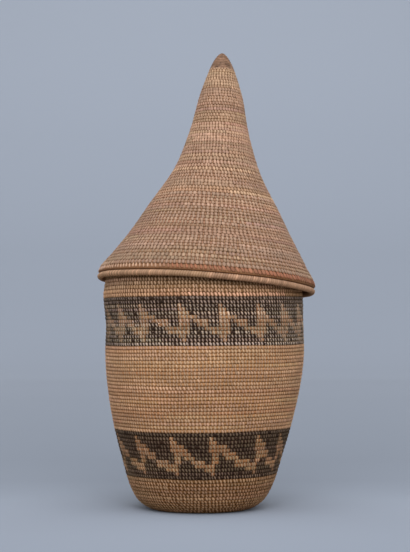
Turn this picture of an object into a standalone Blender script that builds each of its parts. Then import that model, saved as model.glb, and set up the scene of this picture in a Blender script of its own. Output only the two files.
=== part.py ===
"""A tall lidded basket, coiled row on row from one grass rope, with a pointed lid that sits askew on its mouth.

Every row of the coil is a rib of the turned walls, and each stretch that is sewn in its own strip is a piece.
Metres, +Z up. The origin is the middle of the flat underside and -Y is the front.
"""

import math

import bpy
import numpy as np
from mathutils import Vector

COLLECTION = "agaseke_basket"

# The coil
WALL = 0.0028
GROOVE = 0.0006
SEWN_GAP = 0.0003
BODY_SEGMENTS = 20
SPIRE_SEGMENTS = 16
CORD_SIDES = 8
INNER_STEP = 0.012
SPAN_POINTS = 16
SHARP_ANGLE = math.radians(40.0)

# Body outline, over the crests of the rows, from the underside up
BASE_RADIUS = 0.0295
HEEL_RADIUS = 0.0412
HEEL_HEIGHT = 0.0060
FOOT_RADIUS = 0.0464
FOOT_HEIGHT = 0.0150
ANKLE_RADIUS = 0.0525
ANKLE_HEIGHT = 0.0340
FLANK_RADIUS = 0.0590
FLANK_HEIGHT = 0.0580
BELLY_RADIUS = 0.0651
WAIST_RADIUS = 0.0645
NECK_RADIUS = 0.0651
MOUTH_INSET = 0.0017
BODY_HEIGHT = 0.1570
MOUTH_CORD = 0.0028

# How far below the mouth the upper part of the outline is widest, drawn in and widest again
MOUTH_TO_BELLY = 0.0530
MOUTH_TO_WAIST = 0.0370
MOUTH_TO_NECK = 0.0190

# Where the body's strip changes, as heights on the outside: from the base, and down from the mouth
BASE_TO_LOWER_BAND = 0.0229
LOWER_BAND_HEIGHT = 0.0299
MOUTH_TO_UPPER_BAND = 0.0189
UPPER_BAND_HEIGHT = 0.0309

# Rows of coil in each stretch of the body
BASE_ROWS = 10
FOOT_ROWS = 13
LOWER_BAND_ROWS = 12
BELLY_ROWS = 24
UPPER_BAND_ROWS = 13
NECK_ROWS = 7

# Underside
START_KNOT_RADIUS = 0.0050
LAND_WIDTH = 0.0011

# Lid outline, in the lid's own frame, whose origin is the middle of its rim cord
LID_PLAY = 0.0021
RIM_CORD = 0.0040
BROW_INSET = 0.0077
BROW_HEIGHT = 0.0157
FLARE_RADIUS = 0.0531
FLARE_HEIGHT = 0.0320
CONE_RADIUS = 0.0430
CONE_HEIGHT = 0.0500
SHOULDER_RADIUS = 0.0281
SHOULDER_HEIGHT = 0.0760
SPIRE_RADIUS = 0.0199
SPIRE_HEIGHT = 0.1000
POINT_RADIUS = 0.0133
POINT_HEIGHT = 0.1280
TIP_RADIUS = 0.0083
TIP_BASE_HEIGHT = 0.1425
TIP_HEIGHT = 0.0113
TIP_POWER = 0.56
TIP_RINGS = 7

# Where the lid's strip changes, as heights above its rim
BORDER_TOP = 0.0062
SKIRT_TOP = 0.0560
SHOULDER_TOP = 0.0855

# Rows of coil in each stretch of the lid
BORDER_ROWS = 1
SKIRT_ROWS = 24
SHOULDER_ROWS = 13
SPIRE_ROWS = 30

# How the lid sits: it has slipped and leans towards the back right
LID_LEAN = math.radians(5.66)
LEAN_TOWARDS = math.radians(42.0)
LID_SLIP = 0.0024
SEAT_GAP = 0.0003
SEAT_CHECKS = 80
SEAT_HALVINGS = 30

# Colours of the strips, with their roughness
NATURAL = (0.52, 0.33, 0.19, 1.0)
DYED_BLACK = (0.045, 0.033, 0.030, 1.0)
ROSY = (0.50, 0.30, 0.21, 1.0)
RUSSET = (0.42, 0.19, 0.10, 1.0)
TIP_BROWN = (0.22, 0.11, 0.06, 1.0)
STRIP_ROUGHNESS = 0.75


def clear_scene():
    """Empties the scene of what a new file holds."""
    for thing in list(bpy.data.objects):
        bpy.data.objects.remove(thing, do_unlink=True)


def strip_material(name, colour):
    """A matt plant strip."""
    material = bpy.data.materials.new(name)
    material.use_nodes = True
    shader = material.node_tree.nodes["Principled BSDF"]
    shader.inputs["Base Color"].default_value = colour
    shader.inputs["Roughness"].default_value = STRIP_ROUGHNESS
    shader.inputs["Metallic"].default_value = 0.0
    return material


def flowing(stations, start, end):
    """A cubic through the stations, as (radius, height) points, that leaves along start and arrives along end."""
    points = np.array(stations)
    steps = np.diff(points, axis=0)
    chords = np.linalg.norm(steps, axis=1)
    headings = steps / chords[:, None]
    before, after = chords[:-1, None], chords[1:, None]
    inner = (headings[:-1] * after + headings[1:] * before) / (before + after)
    tangents = np.vstack([start, inner, end])
    t = np.linspace(0.0, 1.0, SPAN_POINTS, endpoint=False)[:, None]
    spans = [
        (2 * t**3 - 3 * t**2 + 1) * points[i]
        + (t**3 - 2 * t**2 + t) * chord * tangents[i]
        + (3 * t**2 - 2 * t**3) * points[i + 1]
        + (t**3 - t**2) * chord * tangents[i + 1]
        for i, chord in enumerate(chords)
    ]
    return np.vstack(spans + [points[-1:]])


def lengths_along(outline):
    """The distance along an outline to each of its points."""
    return np.concatenate([[0.0], np.cumsum(np.linalg.norm(np.diff(outline, axis=0), axis=1))])


def moved_in(outline, depth):
    """An outline that runs upwards, moved into the wall by a depth."""
    slope = np.gradient(outline, axis=0)
    slope /= np.linalg.norm(slope, axis=1)[:, None]
    return outline + depth * np.column_stack([-slope[:, 1], slope[:, 0]])


def picked(curve, lengths, where):
    """The curve's points at some distances along the outline that it was moved in from."""
    return np.column_stack([np.interp(where, lengths, curve[:, k]) for k in (0, 1)])


def length_at_height(outline, height):
    """The distance along an outline to a height on it."""
    return float(np.interp(height, outline[:, 1], lengths_along(outline)))


def coiled_profile(outline, bottom, top, rows):
    """The closed section of a stretch of wall, down its ribbed outside and up its plain inside."""
    lengths = lengths_along(outline)
    bottom += SEWN_GAP / 2
    top -= SEWN_GAP / 2
    crests = picked(outline, lengths, np.linspace(top, bottom, 2 * rows + 1)[1::2])
    grooves = picked(moved_in(outline, GROOVE), lengths, np.linspace(top, bottom, rows + 1))
    outside = np.empty((2 * rows + 1, 2))
    outside[0::2] = grooves
    outside[1::2] = crests
    inner_points = 1 + math.ceil((top - bottom) / INNER_STEP)
    inside = picked(moved_in(outline, WALL), lengths, np.linspace(bottom, top, inner_points))
    return np.vstack([outside, inside])


def underside_profile():
    """The base's section, from the axis over its plain inside and back along the worn, flat rows of its underside."""
    edge = BASE_RADIUS - SEWN_GAP / 2
    grooves = np.linspace(edge, START_KNOT_RADIUS, BASE_ROWS + 1)
    points = [(0.0, WALL), (edge, WALL)]
    for outer, inner in zip(grooves[:-1], grooves[1:]):
        middle = (outer + inner) / 2
        points.append((outer, GROOVE))
        points.append((middle + LAND_WIDTH / 2, 0.0))
        points.append((middle - LAND_WIDTH / 2, 0.0))
    points.append((START_KNOT_RADIUS, GROOVE))
    points.append((START_KNOT_RADIUS - GROOVE, 0.0))
    points.append((0.0, 0.0))
    return np.array(points)


def cord_profile(radius, height, thickness):
    """The round section of a cord that runs about the axis, from its top down its outer side."""
    angles = math.pi / 2 - np.arange(CORD_SIDES) * 2 * math.pi / CORD_SIDES
    return np.column_stack([radius + thickness / 2 * np.cos(angles), height + thickness / 2 * np.sin(angles)])


def tip_profile(bottom_radius, bottom_height):
    """The wrapped tip's section: a point that opens as a power of the depth below it, over a flat foot."""
    depths = TIP_HEIGHT * np.linspace(0.0, 1.0, TIP_RINGS) ** (1 / TIP_POWER)
    radii = bottom_radius * (depths / TIP_HEIGHT) ** TIP_POWER
    dome = np.column_stack([radii, bottom_height + TIP_HEIGHT - depths])
    return np.vstack([dome, [(0.0, bottom_height)]])


def turned(name, profile, segments, material, collection, parent, closed=True):
    """One turned piece: a profile at +X with a Screw modifier about Z, applied so that only the grooves look sharp."""
    mesh = bpy.data.meshes.new(name)
    count = len(profile)
    edges = [(i, i + 1) for i in range(count - 1)]
    if closed:
        edges.append((count - 1, 0))
    mesh.from_pydata([(r, 0.0, z) for r, z in profile.tolist()], edges, [])
    mesh.materials.append(material)
    piece = bpy.data.objects.new(name, mesh)
    collection.objects.link(piece)
    piece.parent = parent
    screw = piece.modifiers.new("Turn", "SCREW")
    screw.axis = "Z"
    screw.angle = 2 * math.pi
    screw.steps = segments
    screw.render_steps = segments
    screw.use_merge_vertices = True
    screw.merge_threshold = 0.00001
    graph = bpy.context.evaluated_depsgraph_get()
    piece.data = bpy.data.meshes.new_from_object(piece.evaluated_get(graph))
    piece.data.name = name
    piece.modifiers.remove(screw)
    bpy.data.meshes.remove(mesh)
    piece.data.shade_smooth()
    piece.data.set_sharp_from_angle(angle=SHARP_ANGLE)


def mouth_radius():
    """The outer radius of the mouth, which is drawn in a little from the neck."""
    return NECK_RADIUS - MOUTH_INSET


def body_outline():
    """The body's outline over the crests, from the edge of the base to under the mouth cord."""
    stations = [
        (BASE_RADIUS, 0.0),
        (HEEL_RADIUS, HEEL_HEIGHT),
        (FOOT_RADIUS, FOOT_HEIGHT),
        (ANKLE_RADIUS, ANKLE_HEIGHT),
        (FLANK_RADIUS, FLANK_HEIGHT),
        (BELLY_RADIUS, BODY_HEIGHT - MOUTH_TO_BELLY),
        (WAIST_RADIUS, BODY_HEIGHT - MOUTH_TO_WAIST),
        (NECK_RADIUS, BODY_HEIGHT - MOUTH_TO_NECK),
        (mouth_radius(), BODY_HEIGHT - MOUTH_CORD),
    ]
    return flowing(stations, (1.0, 0.0), (0.0, 1.0))


def lid_hem_radius():
    """The outer radius of the lid's lowest wall row, whose rim cord goes over the neck with some play."""
    return NECK_RADIUS + LID_PLAY + RIM_CORD


def lid_outline():
    """The lid's outline over the crests, from above its rim cord to the foot of its tip."""
    hem = lid_hem_radius()
    stations = [
        (hem, RIM_CORD / 2),
        (hem - BROW_INSET, BROW_HEIGHT),
        (FLARE_RADIUS, FLARE_HEIGHT),
        (CONE_RADIUS, CONE_HEIGHT),
        (SHOULDER_RADIUS, SHOULDER_HEIGHT),
        (SPIRE_RADIUS, SPIRE_HEIGHT),
        (POINT_RADIUS, POINT_HEIGHT),
        (TIP_RADIUS, TIP_BASE_HEIGHT),
    ]
    last = np.subtract(stations[-1], stations[-2])
    return flowing(stations, (0.0, 1.0), last / np.linalg.norm(last))


def across_flats(azimuths):
    """How far out a wall of flat facets reaches in some directions, as a share of its corner radius."""
    facet = 2 * math.pi / BODY_SEGMENTS
    return math.cos(facet / 2) / np.cos(np.mod(azimuths, facet) - facet / 2)


def mouth_points():
    """Points all round the middle of the mouth cord."""
    azimuths = np.arange(SEAT_CHECKS) * 2 * math.pi / SEAT_CHECKS
    radii = (mouth_radius() - MOUTH_CORD / 2) * across_flats(azimuths)
    heights = np.full(SEAT_CHECKS, BODY_HEIGHT - MOUTH_CORD / 2)
    return np.column_stack([radii * np.cos(azimuths), radii * np.sin(azimuths), heights])


def lid_placing():
    """Where the lid rests: the lowest place at which its leaning inside clears the mouth cord all round."""
    clear_curve = moved_in(lid_outline(), WALL + SEAT_GAP + MOUTH_CORD / 2)
    towards = Vector((math.cos(LEAN_TOWARDS), math.sin(LEAN_TOWARDS), 0.0))
    upright = Vector((0.0, 0.0, 1.0))
    turn = upright.rotation_difference(upright * math.cos(LID_LEAN) + towards * math.sin(LID_LEAN))
    place = towards * LID_SLIP
    low, place.z = BODY_HEIGHT - SHOULDER_HEIGHT, BODY_HEIGHT
    for _ in range(SEAT_HALVINGS):
        height = (low + place.z) / 2
        inside = (mouth_points() - np.array((place.x, place.y, height))) @ np.array(turn.to_matrix())
        room = np.interp(inside[:, 2], clear_curve[:, 1], clear_curve[:, 0])
        room *= across_flats(np.arctan2(inside[:, 1], inside[:, 0]))
        if (room < np.hypot(inside[:, 0], inside[:, 1])).any():
            low = height
        else:
            place.z = height
    return place, turn


def build_body(collection, materials):
    """The basket itself, from its base up to the cord round its mouth."""
    outline = body_outline()
    turned("base_disc", underside_profile(), BODY_SEGMENTS, materials["natural"], collection, None, closed=False)
    lower_band_top = BASE_TO_LOWER_BAND + LOWER_BAND_HEIGHT
    upper_band_top = BODY_HEIGHT - MOUTH_TO_UPPER_BAND
    bottom = 0.0
    stretches = [
        ("foot_wall", BASE_TO_LOWER_BAND, FOOT_ROWS, "natural"),
        ("lower_zigzag_band", lower_band_top, LOWER_BAND_ROWS, "black"),
        ("belly_wall", upper_band_top - UPPER_BAND_HEIGHT, BELLY_ROWS, "natural"),
        ("upper_zigzag_band", upper_band_top, UPPER_BAND_ROWS, "black"),
        ("neck_wall", BODY_HEIGHT - MOUTH_CORD, NECK_ROWS, "natural"),
    ]
    for name, height, rows, strip in stretches:
        top = length_at_height(outline, height)
        profile = coiled_profile(outline, bottom, top, rows)
        turned(name, profile, BODY_SEGMENTS, materials[strip], collection, None)
        bottom = top
    mouth = cord_profile(mouth_radius() - MOUTH_CORD / 2, BODY_HEIGHT - MOUTH_CORD / 2, MOUTH_CORD)
    turned("mouth_cord", mouth, BODY_SEGMENTS, materials["natural"], collection, None)


def build_lid(collection, materials):
    """The pointed lid, in its own frame under an empty on its lift axis."""
    seat = bpy.data.objects.new("lid_seat", None)
    collection.objects.link(seat)
    seat.rotation_mode = "QUATERNION"
    seat.location, seat.rotation_quaternion = lid_placing()
    outline = lid_outline()
    bottom = 0.0
    stretches = [
        ("lid_border_row", BORDER_TOP, BORDER_ROWS, BODY_SEGMENTS, "russet"),
        ("lid_skirt", SKIRT_TOP, SKIRT_ROWS, BODY_SEGMENTS, "rosy"),
        ("lid_shoulder", SHOULDER_TOP, SHOULDER_ROWS, BODY_SEGMENTS, "natural"),
        ("lid_spire", TIP_BASE_HEIGHT, SPIRE_ROWS, SPIRE_SEGMENTS, "natural"),
    ]
    for name, height, rows, segments, strip in stretches:
        top = length_at_height(outline, height)
        turned(name, coiled_profile(outline, bottom, top, rows), segments, materials[strip], collection, seat)
        bottom = top
    rim = cord_profile(lid_hem_radius() - RIM_CORD / 2, -SEWN_GAP / 2, RIM_CORD)
    turned("lid_rim_cord", rim, BODY_SEGMENTS, materials["natural"], collection, seat)
    tip = tip_profile(TIP_RADIUS, TIP_BASE_HEIGHT + SEWN_GAP / 2)
    turned("lid_tip", tip, SPIRE_SEGMENTS, materials["brown"], collection, seat, closed=False)


def main():
    clear_scene()
    collection = bpy.data.collections.new(COLLECTION)
    bpy.context.scene.collection.children.link(collection)
    materials = {
        "natural": strip_material("natural_strip", NATURAL),
        "black": strip_material("dyed_black_strip", DYED_BLACK),
        "rosy": strip_material("rosy_strip", ROSY),
        "russet": strip_material("russet_strip", RUSSET),
        "brown": strip_material("tip_brown_strip", TIP_BROWN),
    }
    build_body(collection, materials)
    build_lid(collection, materials)


main()
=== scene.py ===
"""A lidded coiled basket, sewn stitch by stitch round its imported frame, in a plain studio.

Every row is one turn of a grass coil: a rounded section carried along a helix that climbs the wall. Every
stitch is a strip of its own that lies over the coil and bridges the grooves. Lengths are in metres and angles
in radians.
"""

import math

import bpy
import numpy as np
from bpy.props import FloatProperty, FloatVectorProperty, IntProperty, PointerProperty
from bpy.types import Operator, Panel, PropertyGroup
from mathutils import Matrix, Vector


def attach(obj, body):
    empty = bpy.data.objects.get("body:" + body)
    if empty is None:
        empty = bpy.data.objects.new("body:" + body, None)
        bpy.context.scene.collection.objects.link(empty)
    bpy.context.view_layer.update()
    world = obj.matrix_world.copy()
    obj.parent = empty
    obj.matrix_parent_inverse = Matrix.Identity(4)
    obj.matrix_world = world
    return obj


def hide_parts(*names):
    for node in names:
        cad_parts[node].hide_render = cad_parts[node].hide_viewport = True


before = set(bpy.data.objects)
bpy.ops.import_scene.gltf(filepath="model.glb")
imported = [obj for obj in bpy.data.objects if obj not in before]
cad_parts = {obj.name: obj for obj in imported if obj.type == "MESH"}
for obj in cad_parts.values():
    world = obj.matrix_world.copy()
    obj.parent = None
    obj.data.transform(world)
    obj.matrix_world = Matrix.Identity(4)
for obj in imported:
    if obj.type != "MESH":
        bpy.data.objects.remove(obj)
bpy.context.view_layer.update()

bl_info = {
    "name": "Coiled Basket",
    "version": (1, 0, 0),
    "blender": (4, 5, 0),
    "location": "View3D > Sidebar > Basket",
    "description": "Sews the coils, bands and lid of a tall basket round its frame, and lights them",
    "category": "Object",
}

# Each CAD node's body and material slot
NODES = {
    "base_disc": ("basket", "natural_strip"),
    "foot_wall": ("basket", "natural_strip"),
    "lower_zigzag_band": ("basket", "dyed_black_strip"),
    "belly_wall": ("basket", "natural_strip"),
    "upper_zigzag_band": ("basket", "dyed_black_strip"),
    "neck_wall": ("basket", "natural_strip"),
    "mouth_cord": ("basket", "natural_strip"),
    "lid_rim_cord": ("lid", "natural_strip"),
    "lid_border_row": ("lid", "russet_strip"),
    "lid_skirt": ("lid", "rosy_strip"),
    "lid_shoulder": ("lid", "natural_strip"),
    "lid_spire": ("lid", "natural_strip"),
    "lid_tip": ("lid", "tip_brown_strip"),
}

# Body outline over the crests of its rows, from the edge of the underside up, as (radius, height)
BASE_EDGE = (0.0295, 0.0)
HEEL = (0.0412, 0.0060)
FOOT = (0.0464, 0.0150)
ANKLE = (0.0525, 0.0340)
FLANK = (0.0590, 0.0580)
BELLY = (0.0651, 0.1040)
WAIST = (0.0645, 0.1200)
NECK = (0.0651, 0.1380)
MOUTH = (0.0634, 0.1542)

# Where the body's strip changes, as heights on the outside
LOWER_BAND_BOTTOM = 0.0229
LOWER_BAND_TOP = 0.0528
UPPER_BAND_BOTTOM = 0.1072
UPPER_BAND_TOP = 0.1381

# Lid outline over the crests, in the lid's own frame, as (radius, height above the middle of its rim)
HEM = (0.0712, 0.0020)
BROW = (0.0635, 0.0157)
FLARE = (0.0531, 0.0320)
CONE = (0.0430, 0.0500)
SHOULDER = (0.0281, 0.0760)
SPIRE = (0.0199, 0.1000)
POINT = (0.0133, 0.1280)
TIP_BASE = (0.0083, 0.1425)
BORDER_TOP = 0.0062
SKIRT_TOP = 0.0560
SHOULDER_TOP = 0.0855

# Rows of coil in each stretch, and how many of the lid's lowest ones are coarser, and how much
BASE_ROWS = 12
FOOT_ROWS = 13
LOWER_BAND_ROWS = 12
BELLY_ROWS = 24
UPPER_BAND_ROWS = 13
NECK_ROWS = 7
BODY_ROWS = (BASE_ROWS, FOOT_ROWS, LOWER_BAND_ROWS, BELLY_ROWS, UPPER_BAND_ROWS, NECK_ROWS)
SKIRT_ROWS = 24
SHOULDER_ROWS = 13
SPIRE_ROWS = 30
LID_ROWS = (SKIRT_ROWS, SHOULDER_ROWS, SPIRE_ROWS)
COARSE_ROWS = 4
COARSENESS = 1.3

# From one stitch to the next on the lid's stretches
BORDER_SPACING = 0.0029
SKIRT_SPACING = 0.0028
SHOULDER_SPACING = 0.0023
SPIRE_SPACING = 0.0020

# Stitches that a row gains at a time as the wall widens
STITCH_STEP = 8
BASE_STITCH_STEP = 6
SKIRT_STITCH_STEP = 12
LID_STITCH_STEP = 1

# Zigzags: the first bar's first stitch, counted from the back, and the stitches from each bar to the next
UPPER_ZIGZAG_START = 9
UPPER_ZIGZAG = (10, 11, 10, 11, 9, 9, 12, 11, 11, 9, 9, 11, 10, 11, 10, 11, 11)
LOWER_ZIGZAG_START = 9
LOWER_ZIGZAG = (12, 11, 12, 12, 12, 11, 14, 10, 12, 12, 12, 12, 12)

# Zigzags, row by row down from the band's top: the bar's first stitch and the one past its last, and where
# the slanting line starts and ends, as shares of the way to the next bar
UPPER_MOTIF = {
    2: (0, 1, 0, 0), 3: (0, 2, 0, 0), 4: (0, 3, 0, 0), 5: (0, 3, 0.27, 0.42), 6: (0, 3, 0.36, 0.71),
    7: (0, 3, 0.50, 0.75), 8: (0, 3, 0.63, 1), 9: (0, 3, 0.78, 1), 10: (0, 2, 0, 0), 11: (1, 2, 0, 0),
}
LOWER_MOTIF = {
    1: (0, 1, 0, 0), 2: (0, 2, 0, 0), 3: (0, 3, 0, 0.36), 4: (0, 3, 0, 0.45), 5: (1, 3, 0.28, 0.58),
    6: (1, 3, 0.33, 0.62), 7: (1, 3, 0.56, 0.90), 8: (0, 2, 0.60, 1), 9: (0, 2, 0.87, 1), 10: (1, 2, 0, 0),
}
NO_MOTIF = (0, 0, 0, 0)

# Where the coil's rows begin and end: the back
SEAM = math.pi / 2

# How far the hand-sewn middle line strays to the side, as (height, sideways)
BODY_STRAY = (
    (0.0, -0.0018), (0.020, -0.0014), (0.040, -0.0012), (0.060, -0.0005), (0.080, 0.0004), (0.100, 0.0008),
    (0.120, 0.0007), (0.140, -0.0004), (0.157, -0.0004),
)
LID_STRAY = (
    (0.0, 0.0), (0.012, 0.0006), (0.024, 0.0014), (0.036, 0.0017), (0.080, 0.0018), (0.100, 0.0014),
    (0.120, 0.0010), (0.142, 0.0001), (0.154, -0.0006),
)

# How a hand-sewn wall swells and how its rows wander: waves, each with its share of the unevenness, how many
# go round the axis, its phase, and the length along the wall in which it turns by a radian
SWELL_WAVES = ((0.5, 2, 1.3, 0.031), (0.3, 3, -0.7, -0.017), (0.2, 5, 0.0, 0.011))
WANDER_WAVES = ((1.0, 3, 0.0, 0.023), (0.6, 7, 2.0, -0.013))
WANDER_SHARE = 0.5

# The coil's section: a rounded box, as points across the row and out from its middle, in halves of its size,
# and how much higher than its row it is
SECTION_POINTS = 10
SECTION_POWER = 2.6
ROW_OVERLAP = 1.02

# Painted shade on the coil: how dark it is in its grooves, the power of that shade up to the crest, and how
# dark its inner side and its two ends are painted
GROOVE_SHADE = 0.16
GROOVE_POWER = 0.9
COIL_INNER_SHADE = 0.8
COIL_END_SHADE = 0.5

# A stitch: points along it and across it, from -1 to 1, and the power of its back's dip
STITCH_ALONG = np.array([-1.10, -0.70, -0.27, 0.27, 0.70, 1.0])
INNER_ALONG = np.array([-1.0, -0.4, 0.4, 1.0])
STITCH_ACROSS = np.array([-1.0, -0.52, 0.52, 1.0])
DIP_POWER = 2.6

# How far the edges of a strip hang under its back where it bridges a groove, and the strip's thickness over
# how far they lie under the coil's facets elsewhere
BRIDGE = 0.00018
EDGE_SINK = 6

# How unlike each other single stitches are: shares of the width, the slant, the spacing, the strip's
# thickness, with the most that this may be, and the half row
WIDTH_SPREAD = 0.09
SLANT_SPREAD = 0.18
SHIFT_SPREAD = 0.08
THICKNESS_SPREAD = 0.20
THICKNESS_LIMIT = 0.5
REACH_SPREAD = 0.055

# How much a strand deepens or lightens the painted shade at its stitches' ends, and the shares of such
# strands
END_SHADES = np.array([1.0, 0.72, 1.2])
END_SHARES = np.array([0.68, 0.18, 0.14])

# How much wider or narrower than the rest a strand can be
STRAND_WIDTHS = 0.22

# The shortest and longest run of stitches over one kind of grass, of one strand, of one batch of strip and of
# one depth of painted shade at the stitches' ends, and of a cord's wraps with one strand
GRASS_RUN = (30, 90)
STRAND_RUN = (8, 36)
BATCH_RUN = (90, 260)
OPEN_SHADE_RUN = (30, 110)
WRAP_RUN = (12, 40)

# How unlike each other such runs are: in hue, and as shares of what strands differ in brightness
HUE_SPREAD = 0.02
GRASS_BRIGHTNESS = 0.8
GRASS_SPREAD = 0.04
BATCH_BRIGHTNESS = 0.6
BATCH_HUE_SPREAD = 0.01

# The share of runs whose stitches' ends get deeper painted shade, as if their grooves stood open, and how
# much it deepens
OPEN_SHADE_SHARE = 0.16
OPEN_END_SHADE = 0.55

# Powers of e by which a unit of hue changes a strand's red, green and blue, and those that make a strand
# reddish, with the share of such strands, and how much paler some strands are, with their share
ROSY = np.array([0.3, -0.6, 0.9])
REDDISH = np.array([0.0, -0.06, -0.08])
REDDISH_SHARE = 0.1
PALER = 1.5
PALER_SHARE = 0.125

# Powers that make a shaded tint redder as it gets darker
SHADED = np.array([0.80, 1.04, 1.48])

# Looks of a stretch: shares of a stitch's full width and dip, how much its width narrows to its ends, the
# painted shade of its ends and its edges, the share of the strip's thickness that it stands over the coil,
# the share of the full slant, and the share of each half row beneath that the strips leave bare
PLAIN = {"width": 1.04, "narrowing": 0.28, "dip": 0.6, "ends": 0.62, "edges": 0.72, "stand": 0.6}
# The foot's look: the plain one with deeper painted shade along the stitches' edges
FOOT_LOOK = {**PLAIN, "edges": 0.62}
OPEN = {"width": 1.00, "narrowing": 0.28, "dip": 0.6, "ends": 0.72, "edges": 0.70, "stand": 0.7}
CLOSE = {
    "width": 1.34, "narrowing": 0.30, "dip": 0.45, "ends": 0.80, "edges": 0.86, "stand": 0.55, "slant": 0.5,
}
FINE = {
    "width": 1.42, "narrowing": 0.06, "dip": 0.38, "ends": 0.82, "edges": 0.84, "stand": 0.5, "slant": 0.5,
}
BORDER = {**CLOSE, "slant": 0.8, "bare": 0.28}
BEADED = {"width": 1.02, "narrowing": 0.38, "dip": 0.9, "ends": 0.30, "edges": 0.36}
MOTIF = {"width": 0.98, "narrowing": 0.15, "dip": 0.35, "ends": 0.88, "edges": 0.50}
BAND_STAND = 0.12

# How unlike each other the strands and the single stitches of a stretch are
STRANDS = {"bright": 0.07, "each": 0.07}
BORDER_STRANDS = {"bright": 0.07, "each": 0.10}
BAND_STRANDS = {"bright": 0.12, "each": 0.14}
CORD_STRANDS = {"bright": 0.05, "hue": 0.012, "each": 0.12}

# Painted shade on the inner side of the stitches, against their outer side
INNER_SHADE = 0.8

# Painted shade in red, green and blue on the strip and grass of the foot, which faces down, and on the neck's
# grass, where it shows and, deeper, in its top rows, most of which the lid hides
FOOT_STRIP_SHADE = (0.77, 0.745, 0.71)
FOOT_SHADE = (0.40, 0.34, 0.24)
NECK_SHADE = 0.62
NECK_HIDDEN_SHADE = 0.35
NECK_HIDDEN_ROWS = 4

# The neck's lowest rows are brighter and warmer, and those above, under the lid's rim, duller with painted
# shade
NECK_LOW_ROWS = 2
NECK_LOW_TINT = (1.16, 1.08, 1.05)
NECK_RIM_SHADE = (0.92, 0.92, 0.92)

# How pale the bands' beads are at the lowest and at the top row, and how much of its red, green and blue the
# lower band keeps where it is darker
UPPER_BEADS = (1.22, 0.78)
LOWER_BEADS = (0.58, 0.45)
LOWER_BAND_DARKENING = (0.90, 0.79, 0.68)

# How much darker the upper band is on its left, the turns from the back to there, and how far it spreads
UPPER_BAND_LEFT_DARKENING = 0.36
DARK_TURN = 0.27
DARK_SPREAD = 0.07

# The spire's rows next to the tip are brighter
SPIRE_TOP_ROWS = 3
SPIRE_TOP_BRIGHTNESS = 1.14

# The turns from the back between which the border row is russet, how far its colour fades in, and the width
# of its stitches, with how much wider the russet ones are
RUSSET_TURNS = (0.42, 0.85)
RUSSET_FADE = 0.03
BORDER_WIDTH = 1.15
RUSSET_WIDER = 0.30

# Wrapped cords: points along each wrap and about the cord, the power of a wrap's crest, and the shade where
# two wraps meet
WRAP_POINTS = 6
CORD_POINTS = 14
WRAP_POWER = 2.6
WRAP_SHADE = 0.60

# The wraps of the mouth's and the rim's cord, how strongly they lean, and the seeds of their colours
MOUTH_WRAPS = 190
MOUTH_WRAP_LEAN = 1.6
MOUTH_SEED = 51
RIM_WRAPS = 270
RIM_WRAP_LEAN = 2.4
RIM_SEED = 52

# The left end of the lid's rim is paler and beaded: its turns from the back, how far that spreads, how much
# paler the wraps are there, and how much every other one differs
RIM_BEADED_TURN = 0.335
RIM_BEADED_SPREAD = 0.065
RIM_BEADED_LIGHT = 0.13
RIM_BEADS = 0.32

# The tip: its height and the power of its outline, its points round, rings and wraps, how deep the grooves
# between its wraps are, in thicknesses of the strip, the radius below which they fade out, and how dark the
# painted shade in them is
TIP_HEIGHT = 0.0113
TIP_POWER = 0.56
TIP_POINTS = 72
TIP_RINGS = 60
TIP_WRAPS = 9
TIP_CUT = 0.9
TIP_CUT_RADIUS = 0.002
TIP_GROOVE_SHADE = 0.35

# Where the tip's brown ends, as a share of its depth, the waves of that frayed edge, as the wall's are given,
# and how pale the strip past it is against the spire's
TIP_BROWN = 0.94
TIP_FRAYS = ((0.06, 3, 0.6, 1.0), (0.04, 8, 0.0, 1.0))
TIP_FRAYED_SHADE = 0.78

# Flat sheets for baked colours: the margin of each of their rows, how many rows a cord is folded into, and
# the side of the corner that a coil's ends share
SHEET_MARGIN = 0.03
CORD_FOLDS = 8
SHEET_CORNER = 0.001

# A stitch's own square of its sheet: the sides of its four columns, of which the last is its underside, its
# lowest row and its height, and the corners of its two ends
SHEET_COLUMNS = np.array([0.06, 0.26, 0.50, 0.70, 0.94])
SHEET_LOWEST = 0.12
SHEET_HEIGHT = 0.76
SHEET_LOW_END = ((0.70, 0.10), (0.50, 0.03), (0.26, 0.03), (0.06, 0.10))
SHEET_HIGH_END = ((0.06, 0.90), (0.26, 0.97), (0.50, 0.97), (0.70, 0.90))

# Noise that streaks and stains the strips: the values that count as lowest and highest, the dimmest and
# brightest streak, a fibre's width as a share of its length, how far the streaks stand out, how much rougher
# and smoother they make a strip, and how far the fibres of one stitch may be from those of the next
NOISE_RANGE = (0.3, 0.7)
STREAKS = (0.78, 1.16)
FIBRE_STRETCH = 0.08
FIBRE_RELIEF = 0.00008
GLOSS_SPREAD = 0.1
FIBRE_SHIFT = 0.05

# Finishes: roughness, the spacing of the fibres, the size of the stains and how much darker or paler they are
MATERIALS = {
    "natural_strip": dict(roughness=0.62, fibre=0.00011, patina=0.030, stain=0.12),
    "dyed_black_strip": dict(roughness=0.70, fibre=0.00012, patina=0.020, stain=0.12),
    "rosy_strip": dict(roughness=0.66, fibre=0.00012, patina=0.035, stain=0.12),
    "russet_strip": dict(roughness=0.60, fibre=0.00010, patina=0.025, stain=0.12),
    "tip_brown_strip": dict(roughness=0.55, fibre=0.00025, patina=0.003, stain=0.60),
}

# Camera: the picture's height, focal length, horizon and middle line in pixels, and its place
PHOTO_HEIGHT = 552
FOCAL_PIXELS = 1710
HORIZON_BELOW_MIDDLE = 42
AXIS_LEFT_OF_MIDDLE = 1.5
SENSOR = 36.0
CAMERA_DISTANCE = 1.12
CAMERA_HEIGHT = 0.1245

# Seamless paper: its front edge, where it bends up, the radius of the bend, its top, half its width, the
# points of its bend, and how far it lies under the basket
PAPER_FRONT = -3.0
PAPER_BACK = 2.2
PAPER_BEND = 0.9
PAPER_TOP = 4.5
PAPER_HALF = 5.0
BEND_POINTS = 25
FLOOR_GAP = 0.00005
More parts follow.
